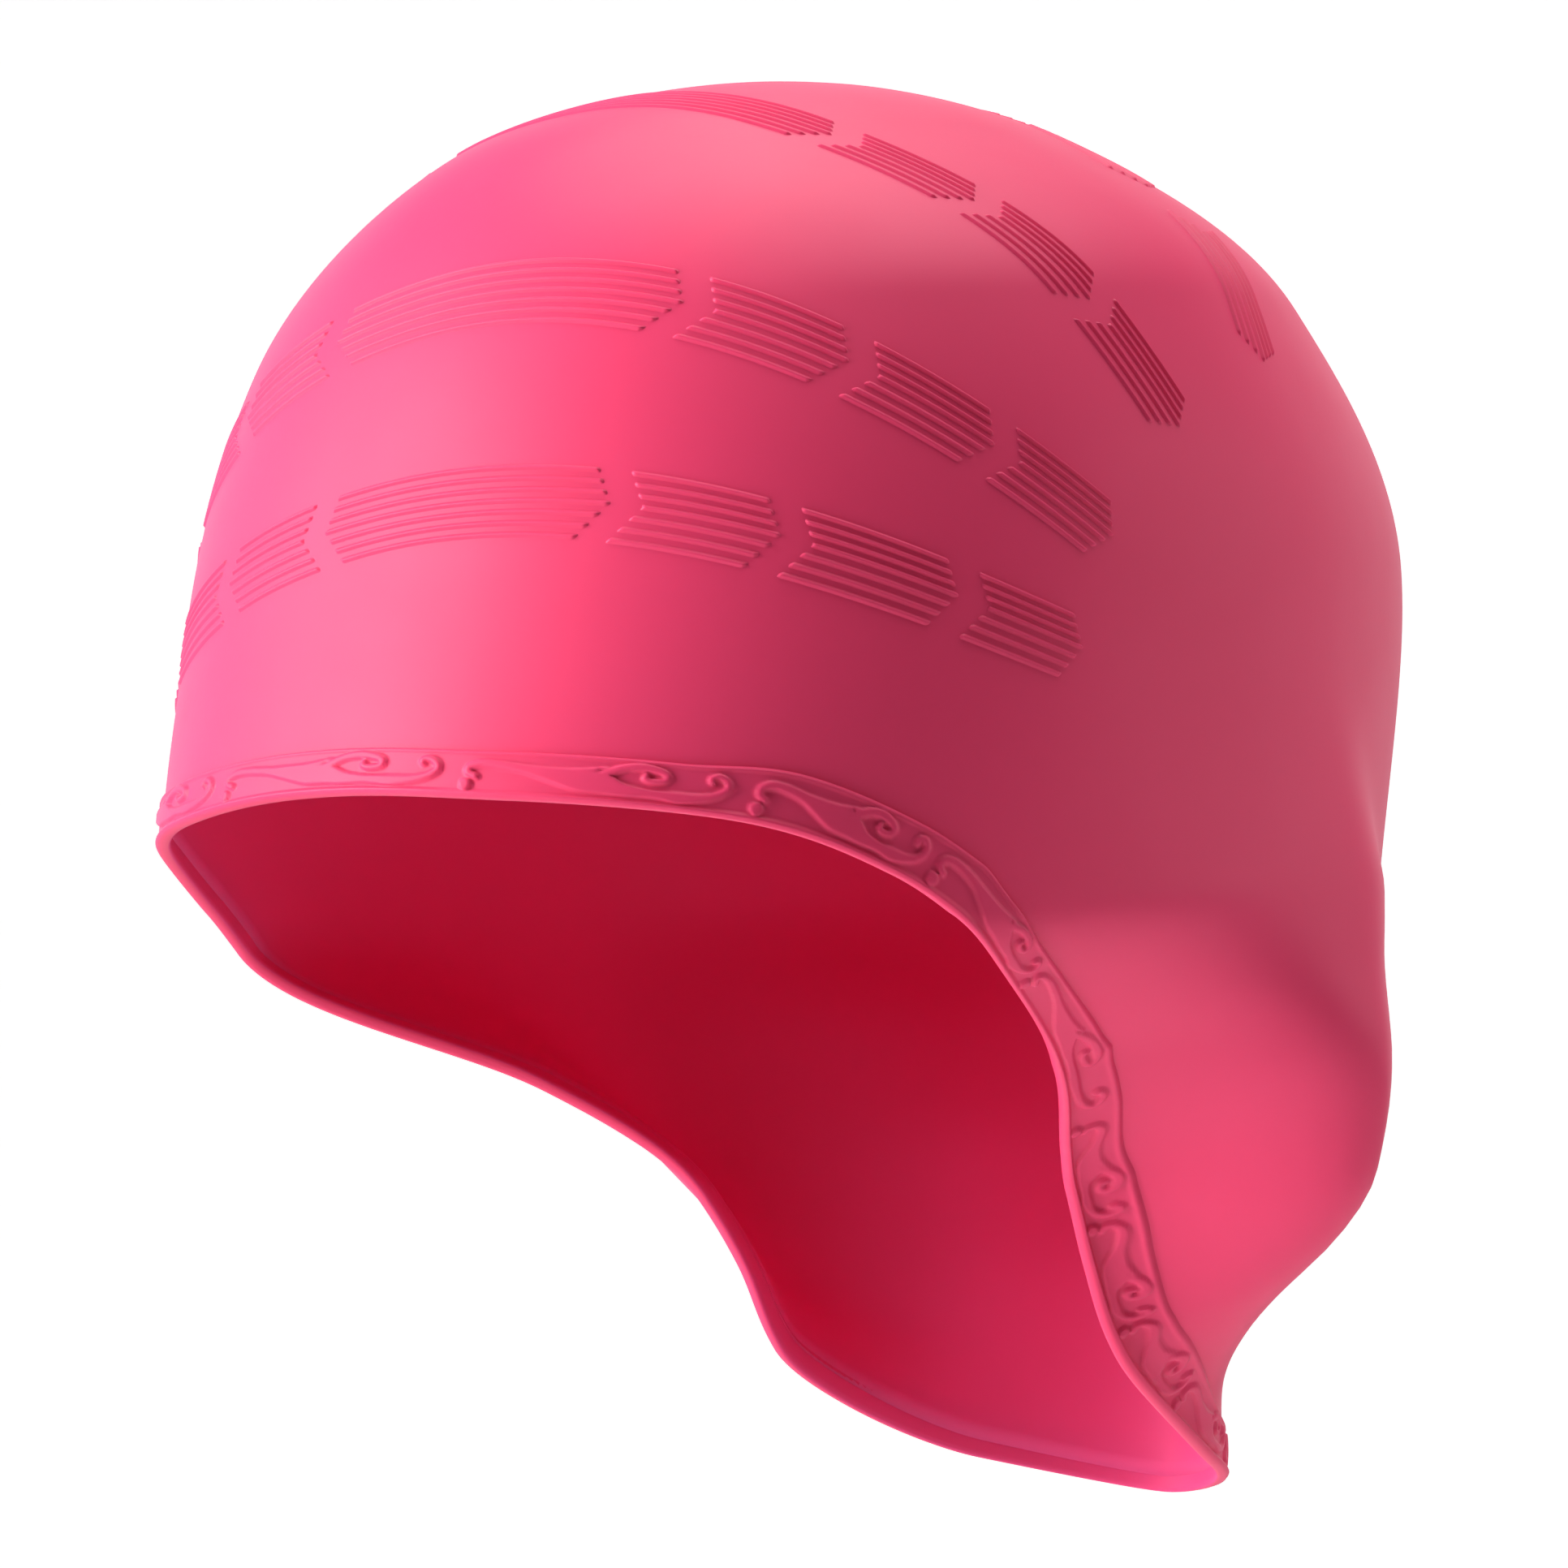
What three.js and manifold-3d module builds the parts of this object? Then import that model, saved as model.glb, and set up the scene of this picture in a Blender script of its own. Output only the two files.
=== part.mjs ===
// A moulded silicone swim cap in bonnet form, as worn: a dome, two ear pockets, a nape and a banded rim.
// Millimetres, +Z up. The forehead faces -Y and the wearer's left side is +X.
// The origin is the inside of the crown, where the cap sits on the head.
import * as THREE from "three";
import { mergeVertices } from "three/addons/utils/BufferGeometryUtils.js";
import Module from "manifold-3d";

const wasm = await Module();
wasm.setup();
const { degToRad, clamp, lerp } = THREE.MathUtils;

// Overall sizes of the outer skin
const DOME_WIDTH = 158;
const FRONT_REACH = 105;
const BACK_REACH = 103;
const CROWN_TO_NAPE = 214;
const NAPE_TURN = degToRad(7.25);
const WALL = 1.2;

// Ear pockets, whose middle lies behind the crown
const POCKET_REACH = 83;
const POCKET_MIDDLE = 21;
const POCKET_FRONT_LENGTH = 29;
const POCKET_BACK_LENGTH = 25;
const POCKET_RIM_CLEARANCE = 13;
const POCKET_INNER_REACH = 17;
const RIGHT_POCKET_SHARE = 0.75;
const RIGHT_POCKET_LIFT = 8;

// Band along the rim, with a bead at its edge
const BAND_WIDTH = 7;
const BAND_RAISE = 0.45;
const BAND_STEP = 0.5;
const BEAD_WIDTH = 1.3;
const BEAD_RAISE = 0.3;
const PLAIN_MARGIN = 3.5;
const EDGE_DROP = 0.5;
// The bead's top and shoulder: gap as a share of its width, rise as a share of its raise
const BEAD_TOP = { gap: 0.75, rise: 1 };
const BEAD_SHOULDER = { gap: 0.25, rise: 0.8 };

// Raised scrolls on the band
const SCROLL_RAISE = 0.4;
const DOT_RADIUS = 0.75;

// Rows of ribbed dashes on the dome, laid out from a centre below the crown
const RIB_CENTRE_DEPTH = 94;
const RIB_RADIUS = 90;
const RIB_TURN = degToRad(14);
const RIBS = 7;
const RIB_PITCH = 1.45;
const RIB_RAISE = 0.55;
const RIB_VALLEY = 0.2;
const RIB_SPAN_DEGREES = 6.5;
const CHEVRON = 2.9;
const CHEVRON_SKEW = -1.1;

// How far relief is sunk into the wall that carries it
const RIB_SINK = 0.58 * WALL;
const SCROLL_SINK = 0.8 * WALL;

// Fineness of the mesh
const COLUMNS = 44;
const EAR_CROWDING = 0.3;
const DOME_ROWS = 13;
const RIM_SAMPLES = 90;

// Level sections of the outer skin, as shares of the overall sizes
const SECTIONS = [
  { depth: 0, side: 0, front: 0, back: 0 },
  { depth: 0.05, side: 0.465, front: 0.52, back: 0.5 },
  { depth: 0.175, side: 0.87, front: 0.75, back: 0.81 },
  { depth: 0.355, side: 0.99, front: 0.89, back: 0.99 },
  { depth: 0.555, side: 0.975, front: 1, back: 0.895 },
  { depth: 0.665, side: 0.625, front: 0.915, back: 0.85 },
  { depth: 0.75, side: 0.435, front: 0.86, back: 0.79 },
  { depth: 0.855, side: 0.425, front: 0.76, back: 0.735 },
  { depth: 1, side: 0.445, front: 0.58, back: 0.73 },
];
const FRONT_ROUNDNESS = 2.24;
const BACK_ROUNDNESS = 1.84;

// How far each level of an ear pocket reaches out, as a share of its reach
const POCKET_LEVELS = [
  { depth: 0.4, reach: 0.95 },
  { depth: 0.5, reach: 0.95 },
  { depth: 0.6, reach: 0.92 },
  { depth: 0.665, reach: 0.95 },
  { depth: 0.75, reach: 0.92 },
  { depth: 0.855, reach: 0.68 },
  { depth: 1, reach: 0.43 },
];
const POCKET_START = 0.42;
const POCKET_FULL = 0.62;
const POCKET_ROUNDNESS = 2.4;
const POCKET_INNER_FADE = 0.7;

// The rim from the forehead to the nape, the same on both sides
const RIM = [
  { angle: 0, depth: 0.457 },
  { angle: 21, depth: 0.468 },
  { angle: 43.5, depth: 0.4925 },
  { angle: 56.5, depth: 0.5305 },
  { angle: 66.5, depth: 0.588 },
  { angle: 82.5, depth: 0.66 },
  { angle: 91, depth: 0.7245 },
  { angle: 100, depth: 0.801 },
  { angle: 106, depth: 0.8655 },
  { angle: 135, depth: 0.963 },
  { angle: 180, depth: 1 },
];

// Where each scroll starts, as a share of the rim from forehead to nape, left side positive
const SCROLL_STARTS = [
  -0.86, -0.7, -0.54, -0.38, -0.22, -0.063, 0.092, 0.226, 0.314, 0.407, 0.579, 0.645, 0.71, 0.785, 0.89,
];
const LAST_SCROLL_END = 1;

// A scroll's strokes: along is a share of its length, up and half shares of the band's width
const LEAF = [
  { along: 0.02, up: 0.45, half: 0.065 },
  { along: 0.06, up: 0.7, half: 0.08 },
  { along: 0.36, up: 0.5, half: 0.18 },
  { along: 0.52, up: 0.4, half: 0.18 },
  { along: 0.72, up: 0.28, half: 0.1 },
  { along: 0.89, up: 0.45, half: 0.08 },
  { along: 0.87, up: 0.77, half: 0.05 },
];
const SPIRAL = [
  { along: 0.45, up: 0.58, half: 0.08 },
  { along: 0.58, up: 0.82, half: 0.08 },
  { along: 0.69, up: 0.7, half: 0.07 },
  { along: 0.64, up: 0.56, half: 0.05 },
];
const DOT = { along: 0, up: 0.27 };
const DOT_SIDES = 5;

// Rows of dashes: rise above the level of the centre, droop at the sides, ends in degrees from the middle
const RIB_ROWS = [
  { rise: 20.2, droop: 8.5, middle: 13.5, dashes: [[14.5, 27.2], [28.2, 42.5], [43.8, 55.5]] },
  { rise: 38.5, droop: 6.5, middle: 16.2, dashes: [[17.2, 30], [31, 43.5], [44.5, 57]] },
  { rise: 67, droop: 6, middle: 18.3, dashes: [[19.5, 32.5], [33.5, 45.5], [46.5, 58.8]] },
  { rise: 107, droop: 10, middle: 18, dashes: [[20, 33], [40, 57]] },
];
const DROOP_REFERENCE = 50;

// Slopes at each point that keep a cubic curve from overshooting.
function steadySlopes(xs, ys) {
  const last = xs.length - 1;
  const steps = xs.slice(1).map((x, i) => x - xs[i]);
  const rates = steps.map((step, i) => (ys[i + 1] - ys[i]) / step);
  return xs.map((_, i) => {
    if (i === 0) return rates[0];
    if (i === last) return rates[last - 1];
    if (rates[i - 1] * rates[i] <= 0) return 0;
    const before = 2 * steps[i] + steps[i - 1];
    const after = steps[i] + 2 * steps[i - 1];
    return (before + after) / (before / rates[i - 1] + after / rates[i]);
  });
}

// A smooth curve through the points (x, y), level at its ends if asked.
function smoothCurve(xs, ys, levelEnds = false) {
  const last = xs.length - 1;
  const slopes = steadySlopes(xs, ys);
  if (levelEnds) {
    slopes[0] = 0;
    slopes[last] = 0;
  }
  return (value) => {
    const x = clamp(value, xs[0], xs[last]);
    let i = 0;
    while (i < last - 1 && x > xs[i + 1]) i += 1;
    const step = xs[i + 1] - xs[i];
    const t = (x - xs[i]) / step;
    const rest = 1 - t;
    return (
      (1 + 2 * t) * rest * rest * ys[i] +
      t * rest * rest * step * slopes[i] +
      t * t * (3 - 2 * t) * ys[i + 1] -
      t * t * rest * step * slopes[i + 1]
    );
  };
}

const sectionRoots = SECTIONS.map((row) => Math.sqrt(row.depth));
const sideOf = smoothCurve(sectionRoots, SECTIONS.map((row) => row.side));
const frontOf = smoothCurve(sectionRoots, SECTIONS.map((row) => row.front));
const backOf = smoothCurve(sectionRoots, SECTIONS.map((row) => row.back));
const pocketReachOf = smoothCurve(
  POCKET_LEVELS.map((row) => row.depth),
  POCKET_LEVELS.map((row) => row.reach),
);
const rimSteps = RIM.map((_, i) => i / (RIM.length - 1));
const rimAngleOf = smoothCurve(rimSteps, RIM.map((row) => degToRad(row.angle)));
const rimDepthOf = smoothCurve(rimSteps, RIM.map((row) => row.depth), true);

// The dome and nape without pockets or turn: angle from the forehead, depth as a share of the height.
function plainPoint(angle, depth) {
  const root = Math.sqrt(Math.max(depth, 0));
  const ahead = Math.cos(angle);
  const aside = Math.sin(angle);
  const roundness = ahead >= 0 ? FRONT_ROUNDNESS : BACK_ROUNDNESS;
  const reach = ahead >= 0 ? FRONT_REACH * frontOf(root) : BACK_REACH * backOf(root);
  const x = (DOME_WIDTH / 2) * sideOf(root) * Math.sign(aside) * Math.abs(aside) ** (2 / roundness);
  const y = -reach * Math.sign(ahead) * Math.abs(ahead) ** (2 / roundness);
  return new THREE.Vector3(x, y, WALL - CROWN_TO_NAPE * depth);
}

// The rim's angle and depth at a signed step from -1 to 1, zero at the forehead.
function rimAt(step) {
  return { angle: Math.sign(step) * rimAngleOf(Math.abs(step)), depth: rimDepthOf(Math.abs(step)) };
}

const plainRim = [];
for (let i = 1 - RIM_SAMPLES; i <= RIM_SAMPLES; i += 1) {
  const { angle, depth } = rimAt(i / RIM_SAMPLES);
  plainRim.push(plainPoint(angle, depth));
}

function gapToRim(point) {
  let nearest = Infinity;
  for (const other of plainRim) nearest = Math.min(nearest, point.distanceToSquared(other));
  return Math.sqrt(nearest);
}

// How much of the pocket's bulge a point takes, from 0 to 1.
function pocketWeight(point, depth) {
  const rise = clamp((depth - POCKET_START) / (POCKET_FULL - POCKET_START), 0, 1);
  const away = point.y - POCKET_MIDDLE;
  const length = away < 0 ? POCKET_FRONT_LENGTH : POCKET_BACK_LENGTH;
  const along = Math.exp(-(Math.abs(away / length) ** POCKET_ROUNDNESS));
  const inward = clamp(Math.abs(point.x) / POCKET_INNER_REACH, 0, 1) ** POCKET_INNER_FADE;
  const clear = 1 - Math.exp(-((gapToRim(point) / POCKET_RIM_CLEARANCE) ** 2));
  const size = point.x < 0 ? RIGHT_POCKET_SHARE : 1;
  return along * inward * clear * size * rise * rise * (3 - 2 * rise);
}

// The outer skin, from flat coordinates whose length is the root of the depth share.
function skinPoint(flat) {
  const depth = flat.lengthSq();
  const point = plainPoint(Math.atan2(flat.x, -flat.y), depth);
  const level = depth + (point.x < 0 ? RIGHT_POCKET_LIFT / CROWN_TO_NAPE : 0);
  const reach = POCKET_REACH * pocketReachOf(level);
  const spare = Math.max(reach - Math.abs(point.x), 0);
  point.x += Math.sign(point.x) * pocketWeight(point, level) * spare;
  return point.applyAxisAngle(new THREE.Vector3(0, 0, 1), NAPE_TURN * depth);
}

function flatOf(angle, depth) {
  const root = Math.sqrt(depth);
  return new THREE.Vector2(root * Math.sin(angle), -root * Math.cos(angle));
}

function skinNormal(flat) {
  const step = 1e-3;
  const across = skinPoint(new THREE.Vector2(flat.x + step, flat.y));
  across.sub(skinPoint(new THREE.Vector2(flat.x - step, flat.y)));
  const along = skinPoint(new THREE.Vector2(flat.x, flat.y + step));
  along.sub(skinPoint(new THREE.Vector2(flat.x, flat.y - step)));
  return across.cross(along).normalize();
}

// A point that stands raise above the outer skin, or inside it where raise is negative.
function raisedPoint(flat, raise) {
  return skinPoint(flat).addScaledVector(skinNormal(flat), raise);
}

// Lengths along the rim turn a signed share of each side, from forehead to nape, into a step.
function rimMeasure(side) {
  const lengths = [0];
  let before = skinPoint(flatOf(0, rimDepthOf(0)));
  for (let i = 1; i <= 2 * RIM_SAMPLES; i += 1) {
    const { angle, depth } = rimAt((side * i) / (2 * RIM_SAMPLES));
    const here = skinPoint(flatOf(angle, depth));
    lengths.push(lengths[i - 1] + here.distanceTo(before));
    before = here;
  }
  return lengths;
}
const rimLengths = { left: rimMeasure(1), right: rimMeasure(-1) };

function stepAt(share) {
  const lengths = share < 0 ? rimLengths.right : rimLengths.left;
  const wanted = Math.abs(share) * lengths[lengths.length - 1];
  let i = 1;
  while (i < lengths.length - 1 && lengths[i] < wanted) i += 1;
  const part = (wanted - lengths[i - 1]) / (lengths[i] - lengths[i - 1]);
  return (Math.sign(share) * (i - 1 + part)) / (lengths.length - 1);
}

function rimFlat(share) {
  const wrapped = share > 1 ? share - 2 : share < -1 ? share + 2 : share;
  const { angle, depth } = rimAt(stepAt(wrapped));
  return flatOf(angle, depth);
}

// Flat coordinates of the point that lies gap above the rim, square to it.
function bandFlat(share, gap) {
  const step = 2e-3;
  const here = rimFlat(share);
  const flatAlong = rimFlat(share + step).sub(rimFlat(share - step));
  const along = skinPoint(rimFlat(share + step)).sub(skinPoint(rimFlat(share - step)));
  const flatUp = here.clone().multiplyScalar(-step);
  const up = skinPoint(here.clone().add(flatUp)).sub(skinPoint(here));
  const slide = up.dot(along) / along.lengthSq();
  up.addScaledVector(along, -slide);
  flatUp.addScaledVector(flatAlong, -slide);
  return here.addScaledVector(flatUp, gap / up.length());
}

function bandPoint(share, gap, raise) {
  return raisedPoint(bandFlat(share, gap), raise);
}

// Triangles between rings of points, with a cap at each end: a ring is a list, an apex a list of one.
function closedSurface(rings) {
  const points = [];
  const faces = [];
  const starts = rings.map((ring) => {
    const start = points.length;
    for (const point of ring) points.push(point);
    return start;
  });
  for (let row = 0; row < rings.length - 1; row += 1) {
    const above = rings[row];
    const below = rings[row + 1];
    const count = Math.max(above.length, below.length);
    for (let i = 0; i < count; i += 1) {
      const next = (i + 1) % count;
      const a = starts[row] + (above.length === 1 ? 0 : i);
      const b = starts[row + 1] + (below.length === 1 ? 0 : i);
      const c = starts[row + 1] + (below.length === 1 ? 0 : next);
      const d = starts[row] + (above.length === 1 ? 0 : next);
      if (below.length > 1) faces.push(a, b, c);
      if (above.length > 1) faces.push(a, c, d);
    }
  }
  return { points, faces };
}

function geometryOf({ points, faces }) {
  const geometry = new THREE.BufferGeometry().setFromPoints(points);
  geometry.setIndex(faces);
  return geometry;
}

function solidOf(surface) {
  const merged = mergeVertices(geometryOf(surface), 1e-4);
  const mesh = new wasm.Mesh({
    numProp: 3,
    vertProperties: merged.attributes.position.array,
    triVerts: new Uint32Array(merged.index.array),
  });
  return new wasm.Manifold(mesh);
}

// The shell: outer dome, band, bead, edge and inner dome, ring by ring.
function shellSurface() {
  const shares = [];
  for (let i = 0; i < COLUMNS; i += 1) {
    const even = (2 * (i + 1)) / COLUMNS - 1;
    shares.push(even + (EAR_CROWDING * Math.sin(2 * Math.PI * even)) / (2 * Math.PI));
  }
  const marginGap = BAND_WIDTH + PLAIN_MARGIN;
  const margins = shares.map((share) => bandFlat(share, marginGap));
  const domeRing = (row, raise) => {
    const part = row / DOME_ROWS;
    return shares.map((share, i) => {
      const whole = Math.atan2(margins[i].x, -margins[i].y);
      const meeting = share === 1 && whole < 0 ? whole + 2 * Math.PI : whole;
      const angle = lerp(Math.PI * share, meeting, part * part);
      return raisedPoint(flatOf(angle, margins[i].lengthSq() * part * part), raise);
    });
  };
  const bandRing = (gap, raise) => shares.map((share) => bandPoint(share, gap, raise));
  const crown = new THREE.Vector2(0, 0);
  const rings = [[raisedPoint(crown, 0)]];
  for (let row = 1; row <= DOME_ROWS; row += 1) rings.push(domeRing(row, 0));
  rings.push(bandRing(BAND_WIDTH + BAND_STEP, 0));
  rings.push(bandRing(BAND_WIDTH, BAND_RAISE));
  rings.push(bandRing(BEAD_WIDTH + BAND_STEP, BAND_RAISE));
  for (const { gap, rise } of [BEAD_TOP, BEAD_SHOULDER]) {
    rings.push(bandRing(gap * BEAD_WIDTH, BAND_RAISE + rise * BEAD_RAISE));
  }
  rings.push(bandRing(0, -EDGE_DROP));
  rings.push(bandRing(BEAD_SHOULDER.gap * BEAD_WIDTH, -WALL));
  for (let row = DOME_ROWS; row >= 1; row -= 1) rings.push(domeRing(row, -WALL));
  rings.push([raisedPoint(crown, -WALL)]);
  return closedSurface(rings);
}

// A solid swept through sections of the same number of points, closed at both ends by the same faces.
// Face numbers past the section's own points count the spare points given for each end.
function sweptSurface(sections, endFaces, lastSpares = [], firstSpares = []) {
  const { points, faces } = closedSurface(sections.toReversed());
  const count = sections[0].length;
  const firstStart = points.length - count;
  const lastSpareStart = points.length;
  const firstSpareStart = lastSpareStart + lastSpares.length;
  const atLast = (k) => (k < count ? k : lastSpareStart + k - count);
  const atFirst = (k) => (k < count ? firstStart + k : firstSpareStart + k - count);
  for (const [a, b, c] of endFaces) {
    faces.push(atLast(a), atLast(b), atLast(c));
    faces.push(atFirst(a), atFirst(c), atFirst(b));
  }
  return { points: [...points, ...lastSpares, ...firstSpares], faces };
}

// Flat coordinates of the skin seen from the centre of the rib rows, in a given direction.
function flatTowards(direction) {
  const centre = new THREE.Vector3(0, 0, WALL - RIB_CENTRE_DEPTH);
  const beside = new THREE.Vector3(0, 0, 1).cross(direction).normalize();
  const above = direction.clone().cross(beside);
  const miss = (flat) => {
    const away = skinPoint(flat).sub(centre);
    return new THREE.Vector2(away.dot(beside), away.dot(above));
  };
  const depth = (RIB_CENTRE_DEPTH * (1 - direction.z)) / CROWN_TO_NAPE;
  const flat = flatOf(Math.atan2(direction.x, -direction.y), Math.max(depth, 1e-4));
  const step = 1e-4;
  for (let pass = 0; pass < 8; pass += 1) {
    const now = miss(flat);
    const dx = miss(new THREE.Vector2(flat.x + step, flat.y)).sub(now).divideScalar(step);
    const dy = miss(new THREE.Vector2(flat.x, flat.y + step)).sub(now).divideScalar(step);
    const size = dx.x * dy.y - dx.y * dy.x;
    flat.x -= (now.x * dy.y - now.y * dy.x) / size;
    flat.y -= (dx.x * now.y - dx.y * now.x) / size;
  }
  return flat;
}

// A point of a rib row: degrees sideways and up, as seen from the centre.
function ribPoint(row, sideways, offset, shift, raise) {
  const aside = degToRad(sideways) + shift / RIB_RADIUS;
  const level = degToRad(row.rise - row.droop * (sideways / DROOP_REFERENCE) ** 2);
  const up = level + offset / (RIB_RADIUS * Math.cos(aside));
  const direction = new THREE.Vector3(
    Math.sin(aside),
    -Math.cos(aside) * Math.cos(up),
    Math.cos(aside) * Math.sin(up),
  );
  direction.applyAxisAngle(new THREE.Vector3(0, 0, 1), RIB_TURN);
  return raisedPoint(flatTowards(direction), raise);
}

// The end of a dash: a gable for each rib, a fan under them, and the walls down to the sunk base.
function dashEndFaces() {
  const last = 2 * RIBS;
  const lowBase = last + 1;
  const highBase = last + 2;
  const tip = last + 3;
  const tipBase = last + 4;
  const faces = [
    [tip, last, lowBase],
    [tip, lowBase, tipBase],
    [tipBase, lowBase, highBase],
    [tip, tipBase, highBase],
    [tip, highBase, 0],
  ];
  for (let j = 0; j < last; j += 2) faces.push([j, j + 1, j + 2], [tip, j, j + 2]);
  return faces;
}

// One dash of parallel ribs between two angles, its ends cut to a chevron that points outward.
function dashSurface(row, from, to) {
  const spans = Math.round((to - from) / RIB_SPAN_DEGREES);
  const middleRib = (RIBS - 1) / 2;
  const pointAt = (share, rib, raise) => {
    const outward = from < 0 && to > 0 ? 2 * share - 1 : Math.sign(from + to);
    const lean = (rib - middleRib) / middleRib;
    const shift = outward * (CHEVRON * (1 - Math.abs(lean)) + CHEVRON_SKEW * lean);
    return ribPoint(row, lerp(from, to, share), (middleRib - rib) * RIB_PITCH, shift, raise);
  };
  const sections = [];
  for (let s = 0; s <= spans; s += 1) {
    const share = s / spans;
    const section = [];
    for (let j = 0; j <= 2 * RIBS; j += 1) {
      section.push(pointAt(share, (j - 1) / 2, j % 2 === 1 ? RIB_RAISE : RIB_VALLEY));
    }
    section.push(pointAt(share, RIBS - 0.5, -RIB_SINK));
    section.push(pointAt(share, -0.5, -RIB_SINK));
    sections.push(section);
  }
  const tips = [1, 0].map((share) => [
    pointAt(share, middleRib, RIB_VALLEY / 2),
    pointAt(share, middleRib, -RIB_SINK),
  ]);
  return sweptSurface(sections, dashEndFaces(), tips[0], tips[1]);
}

function ribSurfaces() {
  const made = [];
  for (const row of RIB_ROWS) {
    made.push(dashSurface(row, -row.middle, row.middle));
    for (const [from, to] of row.dashes) {
      made.push(dashSurface(row, from, to));
      made.push(dashSurface(row, -to, -from));
    }
  }
  return made;
}

const QUAD_CAP = [
  [0, 1, 2],
  [0, 2, 3],
];

// One stroke of a scroll as a flat-topped ribbon that follows the band.
function strokeSurface(stroke, start, end) {
  const lengths = start < 0 ? rimLengths.right : rimLengths.left;
  const reach = (end - start) * lengths[lengths.length - 1];
  const placed = stroke.map((row) => new THREE.Vector2(row.along * reach, row.up * BAND_WIDTH));
  const level = BAND_RAISE + SCROLL_RAISE;
  const base = BAND_RAISE - SCROLL_SINK;
  const sections = placed.map((middle, i) => {
    const before = placed[Math.max(i - 1, 0)];
    const after = placed[Math.min(i + 1, placed.length - 1)];
    const course = after.clone().sub(before).normalize();
    const half = stroke[i].half * BAND_WIDTH;
    const corner = (side, raise) => {
      const along = middle.x - side * course.y * half;
      const up = middle.y + side * course.x * half;
      return bandPoint(start + ((end - start) * along) / reach, up, raise);
    };
    return [corner(1, level), corner(-1, level), corner(-1, base), corner(1, base)];
  });
  return sweptSurface(sections, QUAD_CAP);
}

function dotSurface(start, end) {
  const lengths = start < 0 ? rimLengths.right : rimLengths.left;
  const reach = (end - start) * lengths[lengths.length - 1];
  const ring = (raise) => {
    const points = [];
    for (let i = 0; i < DOT_SIDES; i += 1) {
      const angle = (2 * Math.PI * i) / DOT_SIDES;
      const along = DOT.along * reach + DOT_RADIUS * Math.cos(angle);
      const up = DOT.up * BAND_WIDTH + DOT_RADIUS * Math.sin(angle);
      points.push(bandPoint(start + ((end - start) * along) / reach, up, raise));
    }
    return points;
  };
  const top = BAND_RAISE + SCROLL_RAISE;
  const centre = start + (end - start) * DOT.along;
  return closedSurface([
    [bandPoint(centre, DOT.up * BAND_WIDTH, top)],
    ring(top),
    ring(BAND_RAISE - SCROLL_SINK),
    [bandPoint(centre, DOT.up * BAND_WIDTH, BAND_RAISE - SCROLL_SINK)],
  ]);
}

function scrollSurfaces() {
  return SCROLL_STARTS.flatMap((start, i) => {
    const end = SCROLL_STARTS[i + 1] ?? LAST_SCROLL_END;
    return [strokeSurface(LEAF, start, end), strokeSurface(SPIRAL, start, end), dotSurface(start, end)];
  });
}

function capGeometry() {
  let cap = solidOf(shellSurface());
  for (const surface of [...ribSurfaces(), ...scrollSurfaces()]) cap = cap.add(solidOf(surface));
  const mesh = cap.getMesh();
  const geometry = new THREE.BufferGeometry();
  geometry.setAttribute("position", new THREE.BufferAttribute(mesh.vertProperties, 3));
  geometry.setIndex(new THREE.BufferAttribute(mesh.triVerts, 1));
  const faceted = geometry.toNonIndexed();
  faceted.computeVertexNormals();
  return faceted;
}

const pinkSilicone = new THREE.MeshStandardMaterial({ color: 0xee4a7f, roughness: 0.42, metalness: 0 });
const cap = new THREE.Mesh(capGeometry(), pinkSilicone);
cap.name = "swim_cap";

const swimCap = new THREE.Group();
swimCap.add(cap);

export default swimCap;
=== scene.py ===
"""A moulded silicone swim cap in bonnet form, as worn, with raised dashes and a scroll border."""

import math

import bpy
import numpy as np
from mathutils import Matrix, Vector


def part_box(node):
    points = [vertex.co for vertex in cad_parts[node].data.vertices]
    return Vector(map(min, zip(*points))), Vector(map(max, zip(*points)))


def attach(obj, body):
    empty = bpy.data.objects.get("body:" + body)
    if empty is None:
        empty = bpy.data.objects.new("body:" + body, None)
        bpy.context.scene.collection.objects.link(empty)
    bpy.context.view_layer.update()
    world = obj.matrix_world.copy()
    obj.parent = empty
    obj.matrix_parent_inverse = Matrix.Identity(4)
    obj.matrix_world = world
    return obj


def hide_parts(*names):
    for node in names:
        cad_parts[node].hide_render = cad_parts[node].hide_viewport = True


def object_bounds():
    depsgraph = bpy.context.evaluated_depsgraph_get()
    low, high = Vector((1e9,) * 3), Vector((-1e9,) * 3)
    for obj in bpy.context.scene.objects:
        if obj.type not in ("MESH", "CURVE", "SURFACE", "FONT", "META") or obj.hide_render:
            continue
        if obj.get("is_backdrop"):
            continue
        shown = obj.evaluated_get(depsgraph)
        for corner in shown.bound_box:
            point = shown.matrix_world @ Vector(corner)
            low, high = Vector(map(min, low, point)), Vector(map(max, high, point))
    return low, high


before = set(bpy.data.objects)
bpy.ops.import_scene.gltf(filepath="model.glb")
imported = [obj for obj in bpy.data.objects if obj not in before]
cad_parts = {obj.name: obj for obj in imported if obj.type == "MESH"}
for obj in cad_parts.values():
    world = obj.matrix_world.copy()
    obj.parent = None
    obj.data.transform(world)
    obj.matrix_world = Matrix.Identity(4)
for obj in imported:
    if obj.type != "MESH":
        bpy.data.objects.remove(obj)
CAD_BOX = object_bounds()

# One model millimetre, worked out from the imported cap, which is 214 mm high
CAP_LOW, CAP_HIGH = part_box("swim_cap")
CROWN_TO_NAPE = 214.0
MM = (CAP_HIGH[2] - CAP_LOW[2]) / CROWN_TO_NAPE

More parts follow.
